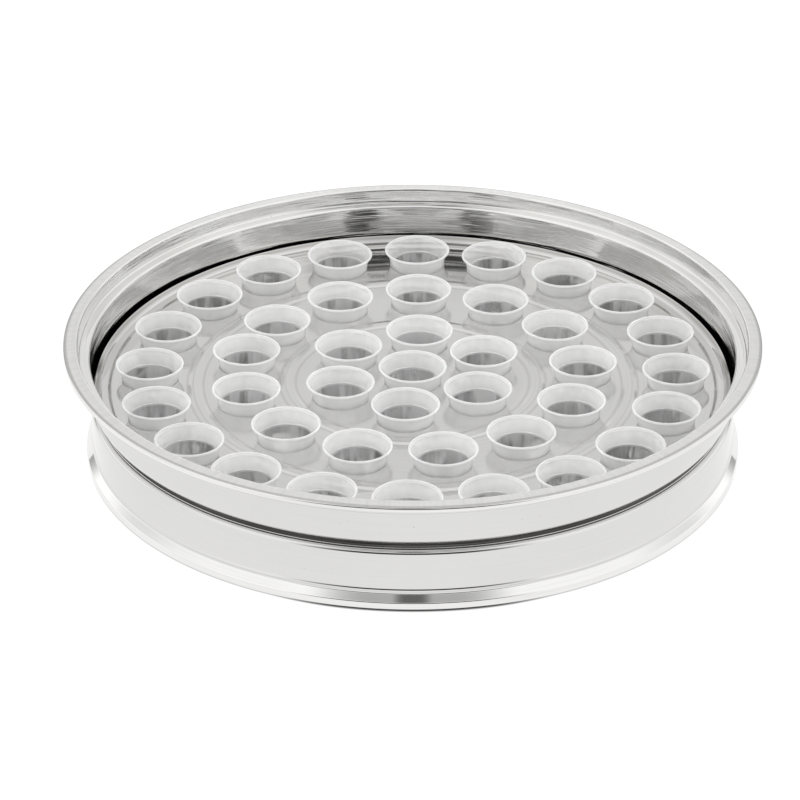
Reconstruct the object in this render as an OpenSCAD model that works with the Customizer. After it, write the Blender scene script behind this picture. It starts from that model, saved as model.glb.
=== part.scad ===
// Communion cup tray: a round steel tray, a pierced steel disc that drops into it, and loose cups.
// Millimetres, +Z up. The origin is the middle of the foot, on the surface that the tray stands on.

/* [Cups] */
// Outer radius of a cup's lip
lip_r = 15.5; // [14:0.1:18]
// Height of a cup, from its bottom to its lip
cup_h = 35; // [30:0.5:45]
// Wall of a cup
cup_t = 0.7; // [0.5:0.05:1]
// Radius of the rolled edge on the lip
lip_bead_r = 0.55; // [0.45:0.05:0.8]
// Height of the lip above the disc's top face
cup_stand = 7.8; // [5:0.1:12]
// Height of the bevel that a cup hangs by
cup_bevel = 0.45; // [0.3:0.05:0.8]
// How much narrower a cup is at its bottom than at the disc
cup_taper = 1.8; // [0.8:0.1:3]
// Radius inside the bend at a cup's bottom
cup_bend = 0.8; // [0.4:0.1:2]
// Space left between a cup's bottom and the floor
cup_clear = 1.9; // [1:0.1:8]

/* [Cup layout] */
// Space between the lips of neighbours, measured along a ring
lip_gap = 6.5; // [5:0.1:12]
// Cups in the outer ring
ring_1_n = 20; // [19:1:22]
// Cups in the middle ring
ring_2_n = 13; // [12:1:14]
// Cups in the inner ring
ring_3_n = 6; // [6:1:7]
// Direction of the outer ring's first cup, in degrees
ring_1_start = 89; // [0:1:360]
// Direction of the middle ring's first cup, in degrees
ring_2_start = 144; // [0:1:360]
// Direction of the inner ring's first cup, in degrees
ring_3_start = 85; // [0:1:360]
// Angle left between the middle ring's last cup and its first
ring_2_close = 24; // [23:0.5:28]

/* [Cup disc] */
// Sheet of the disc
disc_t = 0.7; // [0.5:0.1:1.2]
// Radius of a cup hole
hole_r = 12.8; // [11:0.1:13.5]
// Clearance between a cup and its hole
hole_gap = 0.25; // [0.15:0.05:0.5]
// Clearance between the disc's top face and the bevel that a cup hangs by
bevel_gap = 0.2; // [0.15:0.05:0.5]
// Width of the low ridges pressed between the rings of cups
ridge_w = 6.4; // [4:0.1:8]
// Height of those ridges
ridge_h = 0.7; // [0.3:0.1:1.2]
// Width of a ridge's sloping side
ridge_side = 1.4; // [1:0.1:1.8]
// Plain web between the outer holes and the seat
web = 2.1; // [1.5:0.1:6]
// Width of the flat that rests on the seat
seat_w = 2.4; // [1.5:0.1:6]
// Width of the border's first slope
riser_w = 1.4; // [1:0.1:3]
// Height of the border's first slope
riser_h = 1.1; // [0.6:0.1:2]
// Width of the border's step
step_w = 2.9; // [2:0.1:5]
// Width of the border's outer slope
edge_w = 2.7; // [1.5:0.1:4]
// Height of the border's outer slope
edge_h = 2.4; // [1:0.1:4]

/* [Tray sheet] */
// Sheet of the collar, the base and the floor
sheet_t = 0.7; // [0.5:0.1:1.2]
// Clearance under the disc where it rests
seat_gap = 0.1; // [0.05:0.05:0.3]
// Clearance between the disc's edge and the wall
disc_gap = 2; // [0.5:0.1:3]
// Radius inside the small bends
bend = 0.4; // [0.3:0.1:0.7]

/* [Collar] */
// Height of the stacking ledge above the cup lips
stack_clear = 9.9; // [5:0.1:20]
// Clearance round the foot of a tray that is stacked inside the collar
stack_gap = 1.65; // [0.5:0.05:4]
// Radius inside the ledge's bends
ledge_bend = 0.5; // [0.3:0.1:0.9]
// Height of the rim above the stacking ledge
collar_h = 7; // [5:0.1:15]
// How far the collar leans out over that height
collar_lean = 0.7; // [0:0.1:1.5]
// Width of the rim's flange
rim_w = 5.8; // [4:0.1:12]
// How far the flange falls to its outer edge
rim_fall = 0.6; // [0.2:0.1:1.5]
// Depth of the edge that is turned down at the rim
rim_hem = 1.8; // [1.5:0.1:3]
// Radius inside the bend where the wall turns in to the seat
shoulder_bend = 4.2; // [1.5:0.1:6]

/* [Base] */
// How far the base's wall is set in from the collar's
base_step = 0.5; // [0:0.1:2]
// Clear height of the groove between the collar and the base
groove_h = 2.2; // [2.2:0.1:6]
// Depth of that groove
groove_d = 2.8; // [2.2:0.1:5]
// Radius inside the bend where the groove turns down to the base's wall
base_bend = 1.5; // [0.5:0.1:2]
// Width of the lap under the collar's seat
lap_w = 6; // [3:0.1:7]
// How far the bead stands out above the foot
bead_d = 0.3; // [0.2:0.1:0.8]
// Height of the bead
bead_h = 1.6; // [1.5:0.1:3]
// Plain strip between the bead and the cove under it
bead_gap = 0.4; // [0.3:0.05:3]
// Radius inside the cove that flares into the foot
cove_bend = 0.8; // [0.5:0.1:3]
// How far the foot stands out from the base's wall
foot_out = 2.75; // [2.3:0.05:4]
// Height of the foot's upright band
foot_band = 3.4; // [2.8:0.1:4.5]
// Radius inside the bend at the foot's lower edge
foot_bend = 0.3; // [0.2:0.1:0.6]
// Width of the flange that the tray stands on
foot_w = 10; // [8:0.5:16]

/* [Floor] */
// Width of the floor's lap on the foot's flange
floor_lap = 5; // [3:0.1:6]
// Radius of the floor's stiffening ridge, to its middle
floor_ridge_r = 98; // [60:1:120]
// Width of that ridge
floor_ridge_w = 8; // [6:0.1:14]
// Height of that ridge
floor_ridge_h = 0.8; // [0.4:0.1:1.5]

/* [Hidden] */
$fn = 96;
bend_n = 4; // straight steps in one bend
flare_n = 5; // straight steps in a cup's flare
bead_n = 10; // straight steps round a cup's lip
cove_slope = 1.15; // fall of the cove's slope over its width
least_flat = 0.1; // flat left between two bends

// Plan of the cups: each ring is as wide as its cups need
pitch = 2 * lip_r + lip_gap;
ring_n = [ring_1_n, ring_2_n, ring_3_n];
ring_r = [for (n = ring_n) n * pitch / (2 * PI)];
ring_2_turn = (360 - ring_2_close) / (ring_2_n - 1);
ring_turn = [360 / ring_1_n, ring_2_turn, 360 / ring_3_n];
ring_start = [ring_1_start, ring_2_start, ring_3_start];
ring_spots = [
    for (k = [0 : len(ring_n) - 1], i = [0 : ring_n[k] - 1])
        let (a = ring_start[k] - i * ring_turn[k]) ring_r[k] * [cos(a), sin(a)]
];
cup_spots = concat(ring_spots, [[0, 0]]);
last_cup = len(cup_spots) - 1;
ridge_r = [for (k = [0, 1]) (ring_r[k] + ring_r[k + 1]) / 2];

// Heights, from the table up
floor_top = 2 * sheet_t;
cup_z = floor_top + floor_ridge_h + cup_clear;
lip_z = cup_z + cup_h;
disc_top = lip_z - cup_stand;
disc_mid = disc_top - disc_t / 2;
seat_z = disc_top - disc_t - seat_gap;
ledge_z = lip_z + stack_clear;
rim_z = ledge_z + collar_h;
groove_floor = seat_z - sheet_t - groove_h;
cove_z = foot_band + foot_out * cove_slope;
cove_run = mid_bend(cove_bend, sheet_t) * tan((90 - atan(cove_slope)) / 2);
bead_z = cove_z + cove_run + bead_gap;

// Radii, from the cups out
neck_r = hole_r - hole_gap;
seat_in_r = ring_r[0] + hole_r + web;
flat_r = seat_in_r + seat_w;
disc_r = flat_r + riser_w + step_w + edge_w;
wall_mid_r = disc_r + disc_gap + sheet_t / 2;
base_mid_r = wall_mid_r - base_step;
groove_mid_r = base_mid_r - groove_d;
foot_mid_r = base_mid_r + foot_out;
collar_mid_r = foot_mid_r + sheet_t + stack_gap;
collar_top_r = collar_mid_r + collar_lean;
rim_mid_r = collar_top_r + rim_w;
foot_in_r = foot_mid_r + sheet_t / 2 - foot_w;
floor_r = foot_in_r + floor_lap;

function cup_name(i) = str("cup_", i < 9 ? "0" : "", i + 1);

function unit(v) = v / norm(v);

function left_of(v) = [-v[1], v[0]];

// Radius on the middle of a sheet of thickness t that is bent to radius r inside
function mid_bend(r, t) = r + t / 2;

// One corner b of a path from a to c, rounded to radius r
function corner(a, b, c, r) =
    let (
        u = unit(a - b),
        v = unit(c - b),
        half = acos(u * v) / 2,
        middle = b + unit(u + v) * r / sin(half),
        spoke = b + u * r / tan(half) - middle,
        swing = sign(cross(v, u)) * (180 - 2 * half) / bend_n
    )
    [for (i = [0 : bend_n]) middle + turned(spoke, i * swing)];

function turned(v, a) = [v[0] * cos(a) - v[1] * sin(a), v[0] * sin(a) + v[1] * cos(a)];

function flat_point(p) = [p[0], p[1]];

// A path through points [x, y, r], each corner rounded to its own r
function path(p) = [
    for (i = [0 : len(p) - 1])
        each i == 0 || i == len(p) - 1 || p[i][2] == 0
            ? [flat_point(p[i])]
            : corner(flat_point(p[i - 1]), flat_point(p[i]), flat_point(p[i + 1]), p[i][2])
];

// Direction in which a path's point moves when the path is thickened
function mitre(p, i) =
    let (
        n = left_of(unit(p[max(i, 1)] - p[max(i, 1) - 1])),
        m = left_of(unit(p[min(i + 1, len(p) - 1)] - p[min(i, len(p) - 2)]))
    )
    (n + m) / (1 + n * m);

// Outline of a sheet of thickness t along a path
function sheet(p, t) = concat(
    [for (i = [0 : len(p) - 1]) p[i] + mitre(p, i) * t / 2],
    [for (i = [len(p) - 1 : -1 : 0]) p[i] - mitre(p, i) * t / 2]
);

// Outline of a sheet of thickness t along a path that ends in a round bead of radius r
function beaded_sheet(p, t, r) =
    let (
        end = len(p) - 1,
        ahead = unit(p[end] - p[end - 1]),
        wrap = 180 - asin(t / 2 / r)
    )
    concat(
        [for (i = [0 : end - 1]) p[i] + mitre(p, i) * t / 2],
        [for (i = [0 : bead_n]) p[end] + r * turned(ahead, wrap * (1 - 2 * i / bead_n))],
        [for (i = [end - 1 : -1 : 0]) p[i] - mitre(p, i) * t / 2]
    );

// Corners of a low ridge round radius r, on a level z
function ridge(r, w, h, side, z, b) = [
    [r - w / 2, z, b],
    [r - w / 2 + side, z + h, b],
    [r + w / 2 - side, z + h, b],
    [r + w / 2, z, b]
];

module spun(corners, t) {
    rotate_extrude()
        polygon(sheet(path(corners), t));
}

// Upper shell: rim, stacking ledge, wall and the seat that the disc rests on
module collar() {
    small = mid_bend(bend, sheet_t);
    wide = mid_bend(ledge_bend, sheet_t);
    top = rim_z - sheet_t / 2;
    color("silver")
        spun([
            [rim_mid_r, top - rim_fall - rim_hem, 0],
            [rim_mid_r, top - rim_fall, small],
            [collar_top_r, top, small],
            [collar_mid_r, ledge_z - sheet_t / 2, wide],
            [wall_mid_r, ledge_z - sheet_t / 2, wide],
            [wall_mid_r, seat_z - sheet_t / 2, mid_bend(shoulder_bend, sheet_t)],
            [seat_in_r, seat_z - sheet_t / 2, 0]
        ], sheet_t);
}

// Lower shell: the lap under the seat, the groove, the wall, the bead and the flared foot
module base_skirt() {
    small = mid_bend(bend, sheet_t);
    lap_z = seat_z - sheet_t - sheet_t / 2;
    shoulder_z = groove_floor - sheet_t / 2;
    shoulder = min(mid_bend(base_bend, sheet_t), groove_d - small - least_flat);
    color("gainsboro")
        spun([
            [groove_mid_r - lap_w, lap_z, 0],
            [groove_mid_r, lap_z, small],
            [groove_mid_r, shoulder_z, small],
            [base_mid_r, shoulder_z, shoulder],
            [base_mid_r, bead_z + bead_h, small],
            [base_mid_r + bead_d, bead_z + bead_h / 2, small],
            [base_mid_r, bead_z, small],
            [base_mid_r, cove_z, mid_bend(cove_bend, sheet_t)],
            [foot_mid_r, foot_band, small],
            [foot_mid_r, sheet_t / 2, mid_bend(foot_bend, sheet_t)],
            [foot_in_r, sheet_t / 2, 0]
        ], sheet_t);
}

// Flat floor with one stiffening ridge, lying on the foot's flange
module floor_plate() {
    z = floor_top - sheet_t / 2;
    b = mid_bend(bend, sheet_t);
    color("lightgray")
        spun(concat(
            [[0, z, 0]],
            ridge(floor_ridge_r, floor_ridge_w, floor_ridge_h, ridge_side, z, b),
            [[floor_r, z, 0]]
        ), sheet_t);
}

// Disc with its ridges, its stepped border and one hole for each cup
module cup_disc() {
    b = mid_bend(bend, disc_t);
    step_r = flat_r + riser_w;
    color("whitesmoke")
        difference() {
            spun(concat(
                [[0, disc_mid, 0]],
                ridge(ridge_r[1], ridge_w, ridge_h, ridge_side, disc_mid, b),
                ridge(ridge_r[0], ridge_w, ridge_h, ridge_side, disc_mid, b),
                [
                    [flat_r, disc_mid, b],
                    [step_r, disc_mid + riser_h, b],
                    [step_r + step_w, disc_mid + riser_h, b],
                    [disc_r, disc_mid + riser_h + edge_h, 0]
                ]
            ), disc_t);
            for (spot = cup_spots)
                translate([spot[0], spot[1], disc_mid])
                    cylinder(r = hole_r, h = 2 * disc_t, center = true);
        }
}

// One cup: tapered body, bevel that it hangs by, flared top and rolled lip
module cup(spot) {
    floor_z = cup_z + cup_t / 2;
    neck_mid_r = neck_r - cup_t / 2;
    flare_r = neck_mid_r + cup_bevel;
    lip_mid_r = lip_r - lip_bead_r;
    bevel_z = disc_top + bevel_gap;
    flare_z = bevel_z + cup_bevel;
    lip_mid_z = lip_z - lip_bead_r;
    color("ghostwhite")
        translate([spot[0], spot[1], 0])
            rotate_extrude()
                polygon(beaded_sheet(path(concat(
                    [
                        [0, floor_z, 0],
                        [neck_mid_r - cup_taper, floor_z, mid_bend(cup_bend, cup_t)],
                        [neck_mid_r, bevel_z, 0]
                    ],
                    [
                        for (i = [0 : flare_n])
                            let (
                                s = i / flare_n,
                                r = flare_r + (lip_mid_r - flare_r) * s * s,
                                z = flare_z + (lip_mid_z - flare_z) * s
                            )
                            [r, z, 0]
                    ]
                )), cup_t, lip_bead_r));
}

collar();
base_skirt();
floor_plate();
cup_disc();
for (i = [0 : last_cup])
    cup(cup_spots[i]);
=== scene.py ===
import math

import bmesh
import bpy
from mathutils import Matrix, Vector


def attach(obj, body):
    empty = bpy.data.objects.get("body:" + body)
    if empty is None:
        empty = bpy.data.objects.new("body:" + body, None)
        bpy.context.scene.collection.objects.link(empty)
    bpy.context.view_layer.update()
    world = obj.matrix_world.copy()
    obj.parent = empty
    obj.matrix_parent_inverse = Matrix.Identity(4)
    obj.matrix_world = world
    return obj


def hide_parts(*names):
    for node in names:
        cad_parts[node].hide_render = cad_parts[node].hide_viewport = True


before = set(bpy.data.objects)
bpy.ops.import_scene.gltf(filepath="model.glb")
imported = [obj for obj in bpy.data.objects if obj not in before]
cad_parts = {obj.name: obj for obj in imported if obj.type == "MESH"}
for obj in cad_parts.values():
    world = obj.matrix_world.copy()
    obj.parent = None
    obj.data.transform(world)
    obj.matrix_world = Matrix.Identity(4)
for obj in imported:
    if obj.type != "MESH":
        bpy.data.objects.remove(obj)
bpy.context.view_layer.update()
scene = bpy.context.scene
scene.view_settings.view_transform = "Standard"
scene.cycles.transparent_max_bounces = 32  # cups stand behind cups
print("frame:", len(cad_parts), "CAD nodes")

mm = 0.001  # shapes are written in millimetres
fullTurn = 2 * math.pi
sharpAngle = math.radians(38)
weldDistance = 1e-6  # metres
slimDistance = 1e-7


def inMetres(lengths):
    return [length * mm for length in lengths]


# outlines, in (radius, height)

def turned(arm, turn):
    c = math.cos(turn)
    s = math.sin(turn)
    return Vector((arm.x * c - arm.y * s, arm.x * s + arm.y * c))


def bentLine(corners, steps, guard):
    # corners are (radius, height, bend); guard points keep the flats flat beside each bend
    line = [Vector(corners[0][:2])]
    for before, corner, after in zip(corners, corners[1:], corners[2:]):
        here = Vector(corner[:2])
        toBefore = (Vector(before[:2]) - here).normalized()
        toAfter = (Vector(after[:2]) - here).normalized()
        half = toBefore.angle(toAfter) / 2
        run = corner[2] / math.tan(half)
        middle = here + (toBefore + toAfter).normalized() * corner[2] / math.sin(half)
        spoke = here + toBefore * run - middle
        swing = math.pi - 2 * half
        if toBefore.x * toAfter.y - toBefore.y * toAfter.x > 0:
            swing = -swing
        line.append(here + toBefore * (run + guard))
        for i in range(steps + 1):
            line.append(middle + turned(spoke, swing * i / steps))
        line.append(here + toAfter * (run + guard))
    line.append(Vector(corners[-1][:2]))
    return line


def offsetLine(line, distance):
    moved = []
    last = len(line) - 1
    for i, point in enumerate(line):
        back = (line[max(i, 1)] - line[max(i, 1) - 1]).normalized()
        ahead = (line[min(i + 1, last)] - line[min(i, last - 1)]).normalized()
        n = Vector((-back.y, back.x))
        m = Vector((-ahead.y, ahead.x))
        moved.append(point + (n + m) / (1 + n.dot(m)) * distance)
    return moved


def sheetOutline(line, thick, ease):
    # both faces of a sheet, with its cut ends eased
    upper = offsetLine(line, thick / 2)
    lower = offsetLine(line, -thick / 2)
    for end, near in ((0, 1), (-1, -2)):
        along = (line[end] - line[near]).normalized()
        across = (upper[end] - lower[end]).normalized()
        for side, sign in ((upper, 1), (lower, -1)):
            tip = side[end]
            eased = [tip - along * ease, tip - across * ease * sign]
            if end == 0:
                side[0:1] = eased[::-1]
            else:
                side[-1:] = eased
    return upper + lower[::-1]


# meshes

def spinOutline(name, outline, turns):
    count = len(outline)
    bm = bmesh.new()
    rings = []
    for t in range(turns):
        c = math.cos(fullTurn * t / turns)
        s = math.sin(fullTurn * t / turns)
        rings.append([bm.verts.new((p.x * c * mm, p.x * s * mm, p.y * mm)) for p in outline])
    for t in range(turns):
        here = rings[t]
        follow = rings[(t + 1) % turns]
        for i in range(count):
            j = (i + 1) % count
            bm.faces.new((here[i], follow[i], follow[j], here[j]))
    return finishMesh(name, bm)


def finishMesh(name, bm):
    bmesh.ops.remove_doubles(bm, verts=bm.verts, dist=weldDistance)
    bmesh.ops.dissolve_degenerate(bm, edges=bm.edges, dist=slimDistance)
    bmesh.ops.recalc_face_normals(bm, faces=bm.faces)
    mesh = bpy.data.meshes.new(name)
    bm.to_mesh(mesh)
    bm.free()
    mesh.shade_smooth()
    mesh.set_sharp_from_angle(angle=sharpAngle)
    return mesh


def placePiece(name, mesh, body, node, materials, spot=(0, 0)):
    piece = bpy.data.objects.new(name, mesh)
    scene.collection.objects.link(piece)
    piece.location = (spot[0] * mm, spot[1] * mm, 0)
    if not mesh.materials:  # the cups share one mesh
        for material in materials:
            mesh.materials.append(material)
    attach(piece, body)
    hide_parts(node)
    return piece


# node helpers

def addNode(tree, kind, **settings):
    made = tree.nodes.new(kind if kind.startswith("Node") else "ShaderNode" + kind)
    for name, value in settings.items():
        setattr(made, name, value)
    return made


def feed(tree, target, value):
    if isinstance(value, bpy.types.NodeSocket):
        tree.links.new(value, target)
    else:
        target.default_value = value


def calc(tree, operation, first, second=0.0):
    made = addNode(tree, "Math", operation=operation)
    feed(tree, made.inputs[0], first)
    feed(tree, made.inputs[1], second)
    return made.outputs[0]


def weigh(tree, first, second, share):
    return calc(
        tree, "ADD",
        calc(tree, "MULTIPLY", first, share),
        calc(tree, "MULTIPLY", second, 1 - share))


def remap(tree, value, low, high, newLow, newHigh, smooth=True):
    made = addNode(tree, "MapRange", interpolation_type="SMOOTHSTEP" if smooth else "LINEAR")
    for socket, number in zip(made.inputs, (value, low, high, newLow, newHigh)):
        feed(tree, socket, number)
    return made.outputs[0]


def mixColour(tree, factor, first, second):
    made = addNode(tree, "Mix", data_type="RGBA")
    feed(tree, made.inputs[0], factor)
    feed(tree, made.inputs[6], first)  # 6, 7 and 2 are the colour sockets
    feed(tree, made.inputs[7], second)
    return made.outputs[2]


def noise(tree, vector, scale, detail, w=None):
    made = addNode(tree, "TexNoise", noise_dimensions="3D" if w is None else "4D")
    feed(tree, made.inputs["Vector"], vector)
    feed(tree, made.inputs["Scale"], scale)
    feed(tree, made.inputs["Detail"], detail)
    if w is not None:
        feed(tree, made.inputs["W"], w)
    return made.outputs["Fac"]


def scaled(tree, vector, scale):
    made = addNode(tree, "VectorMath", operation="SCALE")
    feed(tree, made.inputs[0], vector)
    made.inputs["Scale"].default_value = scale
    return made.outputs[0]


def polarParts(tree):
    # object coordinates, their x, y and z, the distance from the axis and the direction from it
    place = addNode(tree, "TexCoord").outputs["Object"]
    parts = addNode(tree, "SeparateXYZ")
    feed(tree, parts.inputs[0], place)
    flat = addNode(tree, "CombineXYZ")
    feed(tree, flat.inputs[0], parts.outputs[0])
    feed(tree, flat.inputs[1], parts.outputs[1])
    length = addNode(tree, "VectorMath", operation="LENGTH")
    feed(tree, length.inputs[0], flat.outputs[0])
    turn = addNode(tree, "VectorMath", operation="NORMALIZE")
    feed(tree, turn.inputs[0], flat.outputs[0])
    return {
        "place": place, "x": parts.outputs[0], "y": parts.outputs[1], "z": parts.outputs[2],
        "radius": length.outputs["Value"], "turn": turn.outputs[0],
    }


def newGroup(name, takes, gives):
    group = bpy.data.node_groups.new(name, "ShaderNodeTree")
    for label in takes:
        group.interface.new_socket(name=label, in_out="INPUT", socket_type="NodeSocketFloat")
    for label in gives:
        group.interface.new_socket(name=label, in_out="OUTPUT", socket_type="NodeSocketFloat")
    return group, addNode(group, "NodeGroupInput").outputs, addNode(group, "NodeGroupOutput").inputs


def useGroup(tree, group, **values):
    made = addNode(tree, "Group")
    made.node_tree = group
    for label, value in values.items():
        feed(tree, made.inputs[label], value)
    return made.outputs


# shared effects

def makeSpinLines():
    # fine lines that run round the axis, as spinning and polishing leave them
    detail = 3.0
    sockets = ("Fineness", "Length", "PatchScale")
    group, takes, gives = newGroup("spinLines", sockets, ("Lines", "Patches"))
    polar = polarParts(group)
    stretched = addNode(group, "CombineXYZ")
    feed(group, stretched.inputs[0], calc(group, "MULTIPLY", polar["x"], takes["Length"]))
    feed(group, stretched.inputs[1], calc(group, "MULTIPLY", polar["y"], takes["Length"]))
    feed(group, stretched.inputs[2], calc(group, "MULTIPLY", polar["z"], takes["Fineness"]))
    across = calc(group, "MULTIPLY", polar["radius"], takes["Fineness"])
    feed(group, gives["Lines"], noise(group, stretched.outputs[0], 1.0, detail, across))
    feed(group, gives["Patches"], noise(group, polar["place"], takes["PatchScale"], detail))
    return group


def makeHandlingMarks():
    # small specks left by use
    group, takes, gives = newGroup("handlingMarks", ("Scale", "Size", "Share"), ("Marks",))
    cells = addNode(group, "TexVoronoi", feature="F1")
    feed(group, cells.inputs["Vector"], addNode(group, "TexCoord").outputs["Object"])
    feed(group, cells.inputs["Scale"], takes["Scale"])
    split = addNode(group, "SeparateColor")
    feed(group, split.inputs[0], cells.outputs["Color"])
    chosen = calc(group, "LESS_THAN", split.outputs[0], takes["Share"])
    reach = calc(group, "MULTIPLY", split.outputs[1], takes["Size"])
    near = calc(group, "LESS_THAN", cells.outputs["Distance"], reach)
    feed(group, gives["Marks"], calc(group, "MULTIPLY", chosen, near))
    return group


spinLines = makeSpinLines()
handlingMarks = makeHandlingMarks()


# finishes

def newMaterial(name):
    material = bpy.data.materials.new(name)
    material.use_nodes = True
    tree = material.node_tree
    return material, tree, tree.nodes["Principled BSDF"]


def addBump(tree, strength, distance, height):
    made = addNode(tree, "Bump")
    made.inputs["Strength"].default_value = strength
    made.inputs["Distance"].default_value = distance
    feed(tree, made.inputs["Height"], height)
    return made


def makeSteel(name, look):
    material, tree, shader = newMaterial(name)
    shader.inputs["Metallic"].default_value = 1.0
    lines = useGroup(
        tree, spinLines,
        Fineness=look["fineness"], Length=look["length"], PatchScale=look["patchScale"])
    marks = useGroup(
        tree, handlingMarks,
        Scale=look["markScale"], Size=look["markSize"], Share=look["markShare"])
    mixed = weigh(tree, lines["Lines"], lines["Patches"], look["lineShare"])
    tint = mixColour(tree, remap(tree, mixed, *look["spread"], 0, 1), look["dull"], look["bright"])
    rough = remap(tree, mixed, *look["spread"], look["rough"][1], look["rough"][0])
    if "hazeEdge" in look:  # rubbed duller in the middle, with painted shade beside the pressed forms
        radius = polarParts(tree)["radius"]
        haze = remap(tree, radius, *inMetres(look["hazeEdge"]), look["haze"], 0)
        rough = calc(tree, "ADD", rough, haze)
        for at, width, share in look["slopeShade"]:
            away = calc(tree, "ABSOLUTE", calc(tree, "SUBTRACT", radius, at * mm))
            # painted shade: the slopes are darkened towards the mark tint
            tint = mixColour(tree, remap(tree, away, 0, width * mm, share, 0), tint, look["markAndShade"])
    feed(tree, shader.inputs["Base Color"], mixColour(tree, marks["Marks"], tint, look["markAndShade"]))
    feed(tree, shader.inputs["Roughness"], rough)
    unevenness = lines["Patches"]
    if "smearFineness" in look:  # shallow waves that run round the wall
        unevenness = useGroup(
            tree, spinLines, Fineness=look["smearFineness"], Length=look["smearLength"])["Lines"]
    wave = addBump(tree, look["waveStrength"], look["waveDepth"], unevenness)
    fine = addBump(tree, look["lineStrength"], look["lineDepth"], lines["Lines"])
    feed(tree, fine.inputs["Normal"], wave.outputs[0])
    feed(tree, shader.inputs["Normal"], fine.outputs[0])
    return material


# markAndShade tints the specks, and on the disc also the painted shade on the slopes
steelLook = {
    "fineness": 1400, "length": 9, "patchScale": 24, "lineShare": 0.5, "spread": (0.35, 0.65),
    "bright": (0.74, 0.737, 0.727, 1), "dull": (0.72, 0.717, 0.707, 1), "markAndShade": (0.45, 0.44, 0.42, 1),
    "rough": (0.04, 0.07), "markScale": 260, "markSize": 0.07, "markShare": 0.20,
    "waveStrength": 0.16, "waveDepth": 0.0004, "lineStrength": 0.03, "lineDepth": 0.00002,
}
polishedSteel = makeSteel("polishedSteel", steelLook)
# a brighter copy of the steel on the spun inner wall, painted light; its smears and spin lines are real
wallSteel = makeSteel("wallSteel", {
    **steelLook, "length": 22, "rough": (0.07, 0.12),
    "bright": (0.86, 0.856, 0.846, 1), "dull": (0.80, 0.796, 0.784, 1),
    "lineStrength": 1.0, "lineDepth": 0.00004, "markShare": 0.35,
    "smearFineness": 260, "smearLength": 7, "waveStrength": 0.6, "waveDepth": 0.0010,
})
discSteel = makeSteel("discSteel", {
    **steelLook, "rough": (0.06, 0.09), "markShare": 0.12, "hazeEdge": (92, 112), "haze": 0.11,
    "bright": (0.70, 0.697, 0.688, 1), "dull": (0.655, 0.652, 0.643, 1),
    "slopeShade": [  # radius, width and share of painted shade, on both ridges and on the border's slopes
        (53.0, 1.1, 0.42), (57.8, 0.7, 0.30), (60.4, 1.0, 0.42),
        (94.8, 1.1, 0.42), (99.6, 0.7, 0.30), (102.2, 1.0, 0.42),
        (137.4, 1.1, 1.0), (142.6, 1.4, 1.0),
    ],
})
floorSteel = makeSteel("floorSteel", {**steelLook, "rough": (0.02, 0.04)})
# a brighter copy of the steel for the rim's hem and the foot: painted highlight
highlightSteel = makeSteel("highlightSteel", {
    **steelLook, "bright": (0.87, 0.866, 0.856, 1), "dull": (0.82, 0.816, 0.806, 1),
})
# a near-black copy of the steel: painted shade in the groove and on the holes' cut walls
shadeSteel = makeSteel("shadeSteel", {
    **steelLook, "rough": (0.2, 0.3),
    "bright": (0.12, 0.118, 0.115, 1), "dull": (0.06, 0.059, 0.057, 1),
})


def makeRimSatin():
    look = {
        "bright": (0.78, 0.776, 0.766, 1), "dull": (0.71, 0.706, 0.695, 1), "rough": (0.28, 0.38),
        "fineness": 1800, "length": 9, "spread": (0.35, 0.62),
        "patchScale": 40, "patchSpread": (0.35, 0.65),
        "tickScale": 90, "tickReach": 60, "tickDetail": 2.0, "tickShare": 0.6,
        "tickStrength": 0.05, "tickDepth": 0.00003,
        "edgeShade": (0.36, 0.357, 0.35, 1), "edgeShadeFrom": (155.5, 156.3), "edgeShadeShare": 0.6,  # painted shade along the outer edge
    }
    material, tree, shader = newMaterial("rimSatin")
    shader.inputs["Metallic"].default_value = 1.0
    polar = polarParts(tree)
    ticks = scaled(tree, polar["turn"], look["tickScale"])  # short marks across the flange
    outward = calc(tree, "MULTIPLY", polar["radius"], look["tickReach"])
    across = noise(tree, ticks, 1.0, look["tickDetail"], outward)
    lines = useGroup(
        tree, spinLines,
        Fineness=look["fineness"], Length=look["length"], PatchScale=look["patchScale"])
    mixed = weigh(tree, across, lines["Lines"], look["tickShare"])
    tint = mixColour(tree, remap(tree, mixed, *look["spread"], 0, 1), look["dull"], look["bright"])
    # painted shade: a dark band along the flange's outer edge
    edgeShade = remap(tree, polar["radius"], *inMetres(look["edgeShadeFrom"]), 0, look["edgeShadeShare"])
    feed(tree, shader.inputs["Base Color"], mixColour(tree, edgeShade, tint, look["edgeShade"]))
    rough = remap(tree, lines["Patches"], *look["patchSpread"], *look["rough"])
    feed(tree, shader.inputs["Roughness"], rough)
    bump = addBump(tree, look["tickStrength"], look["tickDepth"], mixed)
    feed(tree, shader.inputs["Normal"], bump.outputs[0])
    return material


rimSatin = makeRimSatin()


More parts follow.
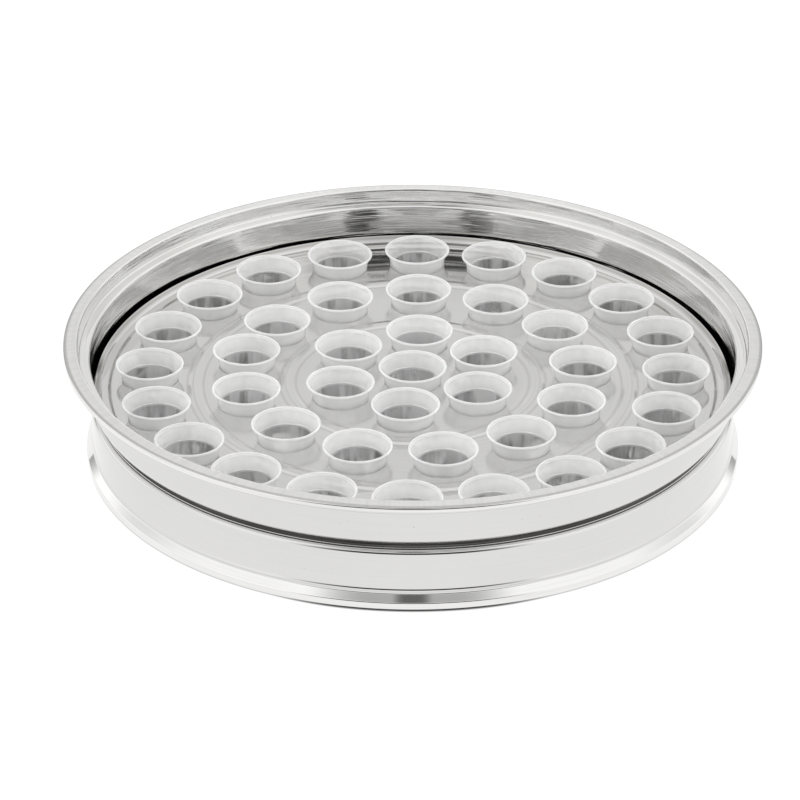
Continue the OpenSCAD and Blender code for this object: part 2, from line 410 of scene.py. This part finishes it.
def makeCupPlastic(cup):
    look = {
        "clear": (0.93, 0.935, 0.935, 1), "milky": (0.99, 0.99, 0.988, 1),
        "bodyAlpha": (0.10, 0.44), "bodySpread": (0.43, 0.57), "bodyEdge": 0.35,
        "flareAlpha": (0.33, 0.41), "flareSpread": (0.3, 0.7), "flareEdge": 0.74,
        "flareFrom": (-0.9, -0.3),  # height from the bevel
        "lipFrom": (-1.5, -0.9), "lipAlpha": 0.66,  # height from the lip
        "rough": (0.07, 0.12), "index": 1.49, "depth": 0.002, "edgeBlend": 0.22,
        "flowScale": 1.6, "flowReach": 25, "flowDetail": 2.0, "unlike": 40,
    }
    material, tree, shader = newMaterial("cupPlastic")
    polar = polarParts(tree)
    spread = scaled(tree, polar["turn"], look["flowScale"])  # soft upright flow lines from the mould
    chance = addNode(tree, "ObjectInfo").outputs["Random"]
    own = calc(tree, "MULTIPLY", chance, look["unlike"])  # no two cups alike
    along = calc(tree, "ADD", calc(tree, "MULTIPLY", polar["z"], look["flowReach"]), own)
    flow = noise(tree, spread, 1.0, look["flowDetail"], along)
    flareZ = inMetres(cup["bevelZ"] + z for z in look["flareFrom"])
    lipZ = inMetres(cup["lipZ"] + z for z in look["lipFrom"])
    flare = remap(tree, polar["z"], *flareZ, 0, 1)
    lip = remap(tree, polar["z"], *lipZ, 0, 1)
    body = remap(tree, flow, *look["bodySpread"], *look["bodyAlpha"])
    upper = remap(tree, flow, *look["flareSpread"], *look["flareAlpha"])
    wall = remap(tree, flare, 0, 1, body, upper)
    wall = remap(tree, lip, 0, 1, wall, look["lipAlpha"])
    edge = addNode(tree, "LayerWeight")  # walls seen edge-on look thicker
    edge.inputs["Blend"].default_value = look["edgeBlend"]
    most = remap(tree, flare, 0, 1, look["bodyEdge"], look["flareEdge"])
    alpha = remap(tree, edge.outputs["Facing"], 0, 1, wall, most, smooth=False)
    feed(tree, shader.inputs["Alpha"], alpha)
    feed(tree, shader.inputs["Base Color"], mixColour(tree, flare, look["clear"], look["milky"]))
    feed(tree, shader.inputs["Roughness"], remap(tree, flow, *look["flareSpread"], *look["rough"]))
    shader.inputs["IOR"].default_value = look["index"]
    shader.inputs["Subsurface Weight"].default_value = 1.0
    shader.inputs["Subsurface Radius"].default_value = (1, 1, 1)
    shader.inputs["Subsurface Scale"].default_value = look["depth"]
    return material


print("finishes: steel, satin rim, cup plastic")


# tray shells

traySheet = {"thick": 0.7, "ease": 0.12, "bendSteps": 9, "guard": 0.10, "turns": 288, "axisGap": 0.5}

collarShape = {
    "node": "collar",
    "corners": [  # radius, height, bend on the middle of the sheet
        (157.114, 53.25, 0), (157.114, 55.048, 0.75), (151.316, 55.648, 0.75), (150.616, 48.65, 0.85),
        (146.016, 48.65, 0.85), (146.016, 30.15, 4.55), (134.266, 30.15, 0),
    ],
    "satinFrom": 151.9, "satinUp": 0.7,  # the flange's top is satin outside this radius
    "hemFrom": 156.2,  # its hem gets painted highlight
    "wallFrom": 31.0, "wallUp": -0.2, "wallOut": 0.9,  # the spun inner wall, in the brighter copy of the steel, painted light
}

baseShape = {
    "node": "base_skirt",
    "corners": [
        (136.716, 29.45, 0), (142.716, 29.45, 0.75), (142.716, 27.25, 0.75), (145.516, 27.25, 1.85),
        (145.516, 8.992, 0.75), (145.816, 8.192, 0.75), (145.516, 7.392, 0.75), (145.516, 6.5625, 1.15),
        (148.266, 3.4, 0.75), (148.266, 0.35, 0.65), (138.616, 0.35, 0),
    ],
    "seamFrom": 27.8, "seamInside": 143.7, "seamOut": 0.3,  # painted shade on the back of the groove
    "footBelow": 6.6, "footOutside": 144.7,  # painted highlight on the foot
}

floorShape = {
    "node": "floor_plate",
    "corners": [
        (0, 1.05, 0), (94, 1.05, 0.75), (95.4, 1.85, 0.75), (100.6, 1.85, 0.75), (102, 1.05, 0.75),
        (143.616, 1.05, 0),
    ],
}


def buildShell(name, shape, materials):
    line = bentLine(shape["corners"], traySheet["bendSteps"], traySheet["guard"])
    outline = sheetOutline(line, traySheet["thick"], traySheet["ease"])
    if line[0].x == 0:  # a sheet that closes on the axis has no cut end there
        outline = [p for p in outline if p.x > traySheet["axisGap"]]
        half = traySheet["thick"] / 2
        outline = [Vector((0, line[0].y + half))] + outline + [Vector((0, line[0].y - half))]
    mesh = spinOutline(name, outline, traySheet["turns"])
    return placePiece(name, mesh, "tray", shape["node"], materials)


def faceFacts(face):
    # radius and height in millimetres, and how far the face looks outward
    spot = face.center
    facing = face.normal
    radius = math.hypot(spot.x, spot.y)
    outward = (spot.x * facing.x + spot.y * facing.y) / radius
    return radius / mm, spot.z / mm, outward


def finishCollar(shape):
    collar = buildShell("collarShell", shape, [polishedSteel, rimSatin, wallSteel, highlightSteel])
    for face in collar.data.polygons:
        radius, height, outward = faceFacts(face)
        upward = face.normal.z
        if radius > shape["satinFrom"] and upward > shape["satinUp"]:
            face.material_index = 1
        # painted highlight on the hem
        elif radius > shape["hemFrom"]:
            face.material_index = 3
        # painted light: the inner wall takes the brighter steel
        elif upward > shape["wallUp"] and outward < shape["wallOut"] and height > shape["wallFrom"]:
            face.material_index = 2


def finishBase(shape):
    base = buildShell("baseShell", shape, [polishedSteel, shadeSteel, highlightSteel])
    for face in base.data.polygons:
        radius, height, outward = faceFacts(face)
        # painted shade on the groove's back
        if height > shape["seamFrom"] and radius < shape["seamInside"] and outward > shape["seamOut"]:
            face.material_index = 1
        # painted highlight on the foot
        elif height < shape["footBelow"] and radius > shape["footOutside"]:
            face.material_index = 2


finishCollar(collarShape)
finishBase(baseShape)
buildShell("floorSheet", floorShape, [floorSteel])
print("tray shells: collar, base, floor")


# cups and their plan

cupShape = {
    "rings": [  # count, radius, start, step
        (20, 119.366, 89, 18), (13, 77.588, 144, 28), (6, 35.810, 85, 60), (1, 0, 0, 0),
    ],
    "bottomZ": 4.1, "lipZ": 39.1, "lipR": 15.5, "wall": 0.7, "bead": 0.55,
    "neckR": 12.55, "bevelZ": 31.5, "bevel": 0.45, "taper": 1.8, "bottomBend": 1.15,
    "flareSteps": 14, "beadSteps": 12, "bendSteps": 6, "guard": 0.1, "turns": 72,
}


def cupSpots():
    spots = []
    for count, radius, start, step in cupShape["rings"]:
        for i in range(count):
            turn = math.radians(start - i * step)
            spots.append((radius * math.cos(turn), radius * math.sin(turn)))
    return spots


def cupOutline(cup):
    half = cup["wall"] / 2
    floorZ = cup["bottomZ"] + half
    neck = cup["neckR"] - half
    flareR = neck + cup["bevel"]
    flareZ = cup["bevelZ"] + cup["bevel"]
    lipR = cup["lipR"] - cup["bead"]
    lipZ = cup["lipZ"] - cup["bead"]
    bottomR = neck - cup["taper"]
    corners = [(0, floorZ, 0), (bottomR, floorZ, cup["bottomBend"]), (neck, cup["bevelZ"], 0)]
    line = bentLine(corners, cup["bendSteps"], cup["guard"])
    for i in range(cup["flareSteps"] + 1):
        s = i / cup["flareSteps"]
        line.append(Vector((flareR + (lipR - flareR) * s * s, flareZ + (lipZ - flareZ) * s)))
    inside = offsetLine(line, half)
    outside = offsetLine(line, -half)
    ahead = (line[-1] - line[-2]).normalized()
    wrap = math.pi - math.asin(half / cup["bead"])
    bead = []
    for i in range(cup["beadSteps"] + 1):
        turn = wrap * (1 - 2 * i / cup["beadSteps"])
        bead.append(line[-1] + cup["bead"] * turned(ahead, turn))
    return inside[:-1] + bead + outside[-2::-1]


spots = cupSpots()
cupPlastic = makeCupPlastic(cupShape)
cupMesh = spinOutline("cupShell", cupOutline(cupShape), cupShape["turns"])
for number, spot in enumerate(spots, 1):
    cup = f"cup_{number:02d}"
    placePiece(f"cupShell_{number:02d}", cupMesh, cup, cup, [cupPlastic], spot)
print("cups:", len(spots))


# cup disc

discShape = {
    "thick": 0.7, "level": 30.95, "holeR": 12.8, "holeEase": 0.15, "holeSteps": 64,
    "ridges": [  # inner ridge and outer ridge
        [(53.199, 0, 3), (55.199, 0.5, 3), (58.199, 0.5, 3), (60.199, 0, 3)],
        [(94.977, 0, 3), (96.977, 0.5, 3), (99.977, 0.5, 3), (101.977, 0, 3)],
    ],
    "border": [(136.666, 0, 0.75), (138.066, 1.1, 0.75), (140.966, 1.1, 0.75), (143.666, 3.5, 0)],
    "margin": 0.8,  # plain strip beside each pressed form
    "turns": 288, "bendSteps": 8, "guard": 0.1,
    "cutUp": 0.2,  # faces that look up less than this are the holes' cut walls
}


def ring(bm, centre, radius, z, steps):
    verts = []
    for i in range(steps):
        turn = fullTurn * i / steps
        x = centre[0] + radius * math.cos(turn)
        y = centre[1] + radius * math.sin(turn)
        verts.append(bm.verts.new((x * mm, y * mm, z * mm)))
    return verts


def skinRings(bm, rings):
    for first, second in zip(rings, rings[1:]):
        for i in range(len(first)):
            j = (i + 1) % len(first)
            bm.faces.new((first[i], first[j], second[j], second[i]))


def pressForms(bm, shape):
    # skins the ridges and the border, and gives each one's inner and outer radius
    half = shape["thick"] / 2
    edges = []
    for form in shape["ridges"] + [shape["border"]]:
        corners = [(form[0][0] - shape["margin"], 0, 0)] + form
        if form is not shape["border"]:
            corners.append((form[-1][0] + shape["margin"], 0, 0))
        flat = bentLine(corners, shape["bendSteps"], shape["guard"])
        line = [Vector((p.x, p.y + shape["level"])) for p in flat]
        upper = offsetLine(line, half)
        lower = offsetLine(line, -half)
        sides = [upper, lower]
        if form is shape["border"]:  # both faces, joined round the cut edge
            sides = [upper + lower[::-1]]
        for side in sides:
            skinRings(bm, [ring(bm, (0, 0), p.x, p.y, shape["turns"]) for p in side])
        edges.append((corners[0][0], corners[-1][0]))
    return edges


def pierceFlats(bm, shape, edges):
    # fills the flats between the pressed forms, round the holes
    half = shape["thick"] / 2
    wide = shape["holeR"] + shape["holeEase"]
    starts = [0] + [edge[1] for edge in edges]
    ends = [edge[0] for edge in edges]
    for low, high in zip(starts, ends):
        inside = [s for s in spots if low <= math.hypot(*s) < high]
        for z in (shape["level"] + half, shape["level"] - half):
            loops = [ring(bm, (0, 0), high, z, shape["turns"])]
            if low:
                loops.append(ring(bm, (0, 0), low, z, shape["turns"]))
            for spot in inside:
                loops.append(ring(bm, spot, wide, z, shape["holeSteps"]))
            rim = [bm.edges.new((loop[i - 1], loop[i])) for loop in loops for i in range(len(loop))]
            bmesh.ops.triangle_fill(bm, use_beauty=True, edges=rim)


def cutHoles(bm, shape):
    half = shape["thick"] / 2
    ease = shape["holeEase"]
    hole = shape["holeR"]
    wall = [(hole + ease, half), (hole, half - ease), (hole, ease - half), (hole + ease, -half)]
    for spot in spots:
        skinRings(bm, [ring(bm, spot, r, shape["level"] + z, shape["holeSteps"]) for r, z in wall])


def buildDisc(shape):
    bm = bmesh.new()
    edges = pressForms(bm, shape)
    pierceFlats(bm, shape, edges)
    cutHoles(bm, shape)
    mesh = finishMesh("discSheet", bm)
    disc = placePiece("discSheet", mesh, "disc", "cup_disc", [discSteel, shadeSteel])
    flatTo = shape["border"][0][0] * mm
    for face in disc.data.polygons:
        if abs(face.normal.z) < shape["cutUp"] and math.hypot(*face.center[:2]) < flatTo:
            face.material_index = 1  # cut walls of the holes, in painted shade


buildDisc(discShape)
print("cup disc: holes", len(spots))


# floor, light and camera

def makeTable():
    look = {
        "size": 1.8, "sink": 0.2, "white": (0.226, 0.226, 0.226, 1), "rough": 0.9,
        "lift": 0.82, "shown": 1.0,  # glow for the camera, and for metal and plastic
        "footEdge": 148.2, "dark": (149.7, 148.5),  # painted contact shadow under the foot's edge, its reach in front and aside
        "aside": 0.6, "front": (-0.985, -0.90),
    }
    mesh = bpy.data.meshes.new("tableTop")
    reach = look["size"] / 2
    corners = [(-reach, -reach, 0), (reach, -reach, 0), (reach, reach, 0), (-reach, reach, 0)]
    mesh.from_pydata(corners, [], [(0, 1, 2, 3)])
    table = bpy.data.objects.new("tableTop", mesh)
    scene.collection.objects.link(table)
    table.location.z = -look["sink"] * mm
    material, tree, shader = newMaterial("tableTop")
    shader.inputs["Roughness"].default_value = look["rough"]
    shader.inputs["Specular IOR Level"].default_value = 0.0
    shader.inputs["Emission Color"].default_value = (1, 1, 1, 1)
    path = addNode(tree, "LightPath").outputs
    shown = calc(tree, "MAXIMUM", path["Is Glossy Ray"], path["Is Transmission Ray"])
    feed(tree, shader.inputs["Base Color"], mixColour(tree, shown, look["white"], (0, 0, 0, 1)))
    seen = calc(tree, "MULTIPLY", path["Is Camera Ray"], look["lift"])
    lift = calc(tree, "ADD", seen, calc(tree, "MULTIPLY", shown, look["shown"]))
    polar = polarParts(tree)
    turn = addNode(tree, "SeparateXYZ")
    feed(tree, turn.inputs[0], polar["turn"])
    darkTo = remap(tree, turn.outputs[1], *look["front"], *inMetres(look["dark"]))  # the painted shadow reaches widest in front
    least = remap(tree, turn.outputs[1], *look["front"], 0, look["aside"])
    footEdge = look["footEdge"] * mm
    clear = remap(tree, polar["radius"], footEdge, darkTo, least, 1)  # painted shadow: the glow fades under the foot
    feed(tree, shader.inputs["Emission Strength"], calc(tree, "MULTIPLY", lift, clear))
    mesh.materials.append(material)


def sines(angles):
    return [math.sin(math.radians(angle)) for angle in angles]


def studioPatch(tree, way, level, patch):
    # a soft-edged area of the studio; bearing runs from the back by way of the right, in degrees
    sideways, forward, up = way
    bearing = math.radians(patch["bearing"])
    flat = calc(tree, "SQRT", calc(tree, "SUBTRACT", 1.0, calc(tree, "MULTIPLY", up, up)))
    toward = calc(
        tree, "ADD",
        calc(tree, "MULTIPLY", sideways, math.sin(bearing)),
        calc(tree, "MULTIPLY", forward, math.cos(bearing)))
    near, far = (math.cos(math.radians(angle)) for angle in patch["wide"])
    mask = remap(tree, calc(tree, "DIVIDE", toward, flat), far, near, 0, 1)
    for edge, first, last in (("low", 0, 1), ("high", 1, 0)):
        mask = calc(tree, "MULTIPLY", mask, remap(tree, up, *sines(patch[edge]), first, last))
    return remap(tree, mask, 0, 1, level, patch["level"], smooth=False)


def makeStudio():
    look = {
        "fill": 1.19,  # light on dull surfaces
        "round": 0.86, "above": 1.02, "aboveFrom": (36, 56),  # what bright metal shows
        "under": 0.10, "underTo": (-0.04, 0.0),
        "patches": [  # pale behind, panels at the sides, dark on the viewer's side; edges in degrees
            {"bearing": 0, "wide": (70, 115), "low": (-9, -6), "high": (10, 22), "level": 1.2},
            {"bearing": 28, "wide": (8, 22), "low": (-9, -6), "high": (10, 16), "level": 0.35},
            {"bearing": -28, "wide": (8, 22), "low": (-9, -6), "high": (10, 16), "level": 0.35},
            {"bearing": 180, "wide": (60, 110), "low": (-9, -6), "high": (50, 70), "level": 1.1},
            {"bearing": 82, "wide": (30, 60), "low": (24, 38), "high": (64, 80), "level": 1.06},
            {"bearing": -82, "wide": (30, 60), "low": (24, 38), "high": (64, 80), "level": 1.06},
            {"bearing": 180, "wide": (14, 46), "low": (-9, -6), "high": (30, 38), "level": 0.05},
            {"bearing": 180, "wide": (16, 44), "low": (40, 48), "high": (64, 76), "level": 0.47},
            {"bearing": 180, "wide": (2, 9), "low": (40, 48), "high": (64, 76), "level": 0.14},
        ],
        "panelSize": 1.6, "panelPower": 3.0, "panelPlace": (-0.5, 0.2, 1.7),
    }
    world = bpy.data.worlds.new("studio")
    scene.world = world
    world.use_nodes = True
    tree = world.node_tree
    tree.nodes.clear()
    parts = addNode(tree, "SeparateXYZ")
    feed(tree, parts.inputs[0], addNode(tree, "TexCoord").outputs["Generated"])
    way = parts.outputs
    shown = remap(tree, way[2], *sines(look["aboveFrom"]), look["round"], look["above"])
    for patch in look["patches"]:
        shown = studioPatch(tree, way, shown, patch)
    shown = remap(tree, way[2], *look["underTo"], look["under"], shown)
    path = addNode(tree, "LightPath").outputs
    dulled = path["Diffuse Depth"]  # light that reaches dull surfaces sees no patches
    mirrored = calc(tree, "GREATER_THAN", path["Is Glossy Ray"], dulled)
    strength = remap(tree, mirrored, 0, 1, look["fill"], shown, smooth=False)
    clear = calc(tree, "MAXIMUM", path["Is Camera Ray"], path["Is Transmission Ray"])
    strength = remap(tree, clear, 0, 1, strength, 1.0, smooth=False)
    light = addNode(tree, "Background")
    light.inputs["Color"].default_value = (1, 1, 1, 1)
    feed(tree, light.inputs["Strength"], strength)
    feed(tree, addNode(tree, "OutputWorld").inputs["Surface"], light.outputs[0])
    panel = bpy.data.lights.new("softPanel", "AREA")
    panel.shape = "SQUARE"
    panel.size = look["panelSize"]
    panel.energy = look["panelPower"]
    lamp = bpy.data.objects.new("softPanel", panel)
    lamp.location = look["panelPlace"]
    lamp.rotation_euler = (-lamp.location).to_track_quat("-Z", "Y").to_euler()
    lamp.visible_glossy = False  # the metal shows the studio, not the lamp
    scene.collection.objects.link(lamp)


def makeCamera():
    look = {
        "aim": (0, 0, 38.54), "distance": 1773.6, "height": 27.98,  # millimetres and degrees
        "focal": 3913, "frame": 800, "aimPixel": (412.57, 366.59),  # pixels
        "sensor": 36, "clip": (0.05, 50),
    }
    camera = bpy.data.cameras.new("photoCamera")
    camera.sensor_width = look["sensor"]
    camera.lens = look["focal"] / look["frame"] * look["sensor"]
    camera.clip_start, camera.clip_end = look["clip"]
    holder = bpy.data.objects.new("photoCamera", camera)
    scene.collection.objects.link(holder)
    rise = math.radians(look["height"])
    away = Vector((0, -math.cos(rise), math.sin(rise)))
    right = Vector((1, 0, 0))
    upward = Vector((0, math.sin(rise), math.cos(rise)))
    holder.location = (Vector(look["aim"]) + away * look["distance"]) * mm
    half = look["frame"] / 2
    aside = (look["aimPixel"][0] - half) / look["focal"]
    above = (half - look["aimPixel"][1]) / look["focal"]
    axis = -away - right * aside - upward * above
    holder.rotation_mode = "QUATERNION"
    holder.rotation_quaternion = axis.to_track_quat("-Z", "Y")
    scene.camera = holder


makeTable()
makeStudio()
makeCamera()
print("studio: table, light, camera")
